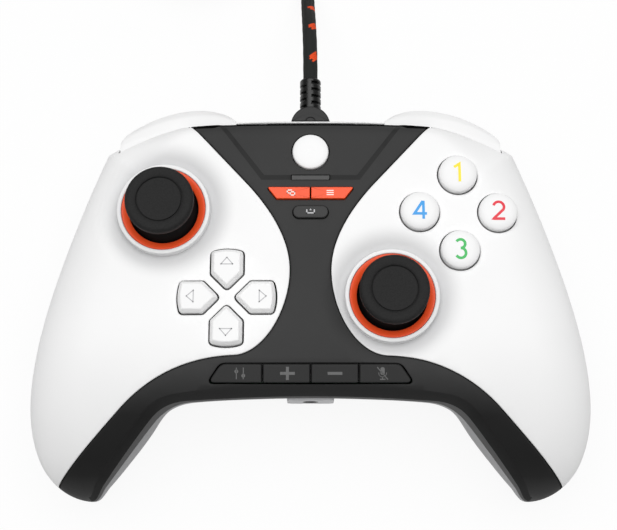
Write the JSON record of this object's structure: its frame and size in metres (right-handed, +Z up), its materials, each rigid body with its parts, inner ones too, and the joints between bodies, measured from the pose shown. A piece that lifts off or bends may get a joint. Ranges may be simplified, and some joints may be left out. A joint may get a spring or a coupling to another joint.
{
  "type": "gamepad controller",
  "caption": "Wired two-handed gamepad with offset thumb sticks, direction keys, face buttons, bumpers, triggers, rumble weights and a braided USB lead.",
  "frame": {"origin": "middle of the housing, on the table it rests on, with the cord left out", "axes": "+X to the player's right across the grips, +Y to the rear where the cord leaves, +Z up out of the face"},
  "size_m": [0.2007, 0.2463, 0.0506],
  "materials": {
    "white_plastic": "satin",
    "charcoal_plastic": "matte",
    "grey_plastic": "matte",
    "orange_plastic": "satin",
    "black_plastic": "satin",
    "black_rubber": "matte",
    "steel": "satin",
    "board": "satin",
    "silicone": "matte",
    "braid": "woven"
  },
  "bodies": {
    "housing": {"left_front_shell": "white_plastic", "right_front_shell": "white_plastic", "rear_bridge": "white_plastic", "centre_frame": "charcoal_plastic", "cable_collar": "charcoal_plastic", "back_shell": "grey_plastic", "light_bar": "grey_plastic", "stick_rings": "orange_plastic", "trigger_frame": "black_plastic", "headset_jack": "black_plastic", "usb_plug": "black_plastic", "strain_relief": "black_rubber", "stick_housings": "steel", "shoulder_pins": "steel", "trigger_springs": "steel", "rumble_motors": "steel", "case_screws": "steel", "usb_plug_shell": "steel", "main_board": "board", "face_button_pad": "silicone", "dpad_pad": "silicone", "centre_button_pad": "silicone", "lower_button_pad": "silicone", "cord_lead": "braid", "cord_coil": "braid", "cord_tail": "braid", "coil_ties": "braid"},
    "north_button_body": {"north_button": "white_plastic"},
    "east_button_body": {"east_button": "white_plastic"},
    "south_button_body": {"south_button": "white_plastic"},
    "west_button_body": {"west_button": "white_plastic"},
    "up_key_body": {"up_key": "white_plastic"},
    "right_key_body": {"right_key": "white_plastic"},
    "down_key_body": {"down_key": "white_plastic"},
    "left_key_body": {"left_key": "white_plastic"},
    "guide_button_body": {"guide_button": "white_plastic"},
    "view_button_body": {"view_button": "orange_plastic"},
    "menu_button_body": {"menu_button": "orange_plastic"},
    "share_button_body": {"share_button": "charcoal_plastic"},
    "profile_button_body": {"profile_button": "charcoal_plastic"},
    "volume_down_button_body": {"volume_down_button": "charcoal_plastic"},
    "volume_up_button_body": {"volume_up_button": "charcoal_plastic"},
    "mic_mute_button_body": {"mic_mute_button": "charcoal_plastic"},
    "left_gimbal": {"left_stick_gimbal": "black_plastic"},
    "left_pivot": {"left_stick_pivot": "steel"},
    "left_stick": {"left_stick_stem": "black_plastic", "left_stick_cap": "black_rubber"},
    "left_bail": {"left_stick_bail": "black_plastic"},
    "right_gimbal": {"right_stick_gimbal": "black_plastic"},
    "right_pivot": {"right_stick_pivot": "steel"},
    "right_stick": {"right_stick_stem": "black_plastic", "right_stick_cap": "black_rubber"},
    "right_bail": {"right_stick_bail": "black_plastic"},
    "left_bumper_body": {"left_bumper": "white_plastic"},
    "right_bumper_body": {"right_bumper": "white_plastic"},
    "left_trigger_body": {"left_trigger": "charcoal_plastic"},
    "right_trigger_body": {"right_trigger": "charcoal_plastic"},
    "left_weight": {"left_rumble_weight": "steel"},
    "right_weight": {"right_rumble_weight": "steel"}
  },
  "joints": [
    {"name": "north_press", "type": "slide", "parent": "housing", "child": "north_button_body", "axis": [0, 0, -1], "range_m": [0, 0.0012], "stiffness_N_per_m": 250, "springref_m": -0.0012, "deforming": ["face_button_pad"]},
    {"name": "east_press", "type": "slide", "parent": "housing", "child": "east_button_body", "axis": [0, 0, -1], "range_m": [0, 0.0012], "stiffness_N_per_m": 250, "springref_m": -0.0012, "deforming": ["face_button_pad"]},
    {"name": "south_press", "type": "slide", "parent": "housing", "child": "south_button_body", "axis": [0, 0, -1], "range_m": [0, 0.0012], "stiffness_N_per_m": 250, "springref_m": -0.0012, "deforming": ["face_button_pad"]},
    {"name": "west_press", "type": "slide", "parent": "housing", "child": "west_button_body", "axis": [0, 0, -1], "range_m": [0, 0.0012], "stiffness_N_per_m": 250, "springref_m": -0.0012, "deforming": ["face_button_pad"]},
    {"name": "up_key_press", "type": "slide", "parent": "housing", "child": "up_key_body", "axis": [0, 0, -1], "range_m": [0, 0.001], "stiffness_N_per_m": 200, "springref_m": -0.0012, "deforming": ["dpad_pad"]},
    {"name": "right_key_press", "type": "slide", "parent": "housing", "child": "right_key_body", "axis": [0, 0, -1], "range_m": [0, 0.001], "stiffness_N_per_m": 200, "springref_m": -0.0012, "deforming": ["dpad_pad"]},
    {"name": "down_key_press", "type": "slide", "parent": "housing", "child": "down_key_body", "axis": [0, 0, -1], "range_m": [0, 0.001], "stiffness_N_per_m": 200, "springref_m": -0.0012, "deforming": ["dpad_pad"]},
    {"name": "left_key_press", "type": "slide", "parent": "housing", "child": "left_key_body", "axis": [0, 0, -1], "range_m": [0, 0.001], "stiffness_N_per_m": 200, "springref_m": -0.0012, "deforming": ["dpad_pad"]},
    {"name": "guide_press", "type": "slide", "parent": "housing", "child": "guide_button_body", "axis": [0, 0, -1], "range_m": [0, 0.0008], "stiffness_N_per_m": 150, "springref_m": -0.0012, "deforming": ["centre_button_pad"]},
    {"name": "view_press", "type": "slide", "parent": "housing", "child": "view_button_body", "axis": [0, 0, -1], "range_m": [0, 0.0006], "stiffness_N_per_m": 60, "springref_m": -0.002, "deforming": ["centre_button_pad"]},
    {"name": "menu_press", "type": "slide", "parent": "housing", "child": "menu_button_body", "axis": [0, 0, -1], "range_m": [0, 0.0006], "stiffness_N_per_m": 60, "springref_m": -0.002, "deforming": ["centre_button_pad"]},
    {"name": "share_press", "type": "slide", "parent": "housing", "child": "share_button_body", "axis": [0, 0, -1], "range_m": [0, 0.0006], "stiffness_N_per_m": 60, "springref_m": -0.002, "deforming": ["centre_button_pad"]},
    {"name": "profile_press", "type": "slide", "parent": "housing", "child": "profile_button_body", "axis": [0, 0.2079, -0.9781], "range_m": [0, 0.0006], "stiffness_N_per_m": 80, "springref_m": -0.002, "deforming": ["lower_button_pad"]},
    {"name": "volume_down_press", "type": "slide", "parent": "housing", "child": "volume_down_button_body", "axis": [0, 0.2079, -0.9781], "range_m": [0, 0.0006], "stiffness_N_per_m": 80, "springref_m": -0.002, "deforming": ["lower_button_pad"]},
    {"name": "volume_up_press", "type": "slide", "parent": "housing", "child": "volume_up_button_body", "axis": [0, 0.2079, -0.9781], "range_m": [0, 0.0006], "stiffness_N_per_m": 80, "springref_m": -0.002, "deforming": ["lower_button_pad"]},
    {"name": "mic_mute_press", "type": "slide", "parent": "housing", "child": "mic_mute_button_body", "axis": [0, 0.2079, -0.9781], "range_m": [0, 0.0006], "stiffness_N_per_m": 80, "springref_m": -0.002, "deforming": ["lower_button_pad"]},
    {"name": "left_stick_fore_aft", "type": "hinge", "parent": "housing", "child": "left_gimbal", "pos_m": [-0.0395, 0.021, 0.032], "axis": [1, 0, 0], "range_deg": [-16, 16], "stiffness_Nm_per_rad": 0.02},
    {"name": "left_stick_sideways", "type": "hinge", "parent": "left_gimbal", "child": "left_pivot", "pos_m": [-0.0395, 0.021, 0.032], "axis": [0, 1, 0], "range_deg": [-16, 16], "stiffness_Nm_per_rad": 0.02},
    {"name": "left_stick_press", "type": "slide", "parent": "left_pivot", "child": "left_stick", "axis": [0, 0, -1], "range_m": [0, 0.0006], "stiffness_N_per_m": 400, "springref_m": -0.003},
    {"name": "left_bail_swing", "type": "hinge", "parent": "housing", "child": "left_bail", "pos_m": [-0.0395, 0.021, 0.032], "axis": [0, 1, 0], "range_deg": [-16, 16]},
    {"name": "right_stick_fore_aft", "type": "hinge", "parent": "housing", "child": "right_gimbal", "pos_m": [0.0215, -0.0028, 0.032], "axis": [1, 0, 0], "range_deg": [-16, 16], "stiffness_Nm_per_rad": 0.02},
    {"name": "right_stick_sideways", "type": "hinge", "parent": "right_gimbal", "child": "right_pivot", "pos_m": [0.0215, -0.0028, 0.032], "axis": [0, 1, 0], "range_deg": [-16, 16], "stiffness_Nm_per_rad": 0.02},
    {"name": "right_stick_press", "type": "slide", "parent": "right_pivot", "child": "right_stick", "axis": [0, 0, -1], "range_m": [0, 0.0006], "stiffness_N_per_m": 400, "springref_m": -0.003},
    {"name": "right_bail_swing", "type": "hinge", "parent": "housing", "child": "right_bail", "pos_m": [0.0215, -0.0028, 0.032], "axis": [0, 1, 0], "range_deg": [-16, 16]},
    {"name": "left_bumper_press", "type": "hinge", "parent": "housing", "child": "left_bumper_body", "pos_m": [-0.0234, 0.04711, 0.031], "axis": [0, 0, 1], "range_deg": [0, 2], "stiffness_Nm_per_rad": 0.05, "springref_deg": -2.86},
    {"name": "right_bumper_press", "type": "hinge", "parent": "housing", "child": "right_bumper_body", "pos_m": [0.0234, 0.04711, 0.031], "axis": [0, 0, -1], "range_deg": [0, 2], "stiffness_Nm_per_rad": 0.05, "springref_deg": -2.86},
    {"name": "left_trigger_pull", "type": "hinge", "parent": "housing", "child": "left_trigger_body", "pos_m": [-0.039, 0.039, 0.021], "axis": [-0.9736, -0.2284, 0], "range_deg": [0, 17], "stiffness_Nm_per_rad": 0.06, "springref_deg": -20.05, "deforming": ["trigger_springs"]},
    {"name": "right_trigger_pull", "type": "hinge", "parent": "housing", "child": "right_trigger_body", "pos_m": [0.039, 0.039, 0.021], "axis": [-0.9736, 0.2284, 0], "range_deg": [0, 17], "stiffness_Nm_per_rad": 0.06, "springref_deg": -20.05, "deforming": ["trigger_springs"]},
    {"name": "left_weight_spin", "type": "hinge", "parent": "housing", "child": "left_weight", "pos_m": [-0.0645, -0.026, 0.015], "axis": [1, 0, 0], "continuous": true},
    {"name": "right_weight_spin", "type": "hinge", "parent": "housing", "child": "right_weight", "pos_m": [0.0645, -0.026, 0.015], "axis": [1, 0, 0], "continuous": true}
  ],
  "couplings": [
    {"joint": "left_bail_swing", "follows": "left_stick_sideways", "ratio": 1},
    {"joint": "right_bail_swing", "follows": "right_stick_sideways", "ratio": 1}
  ]
}
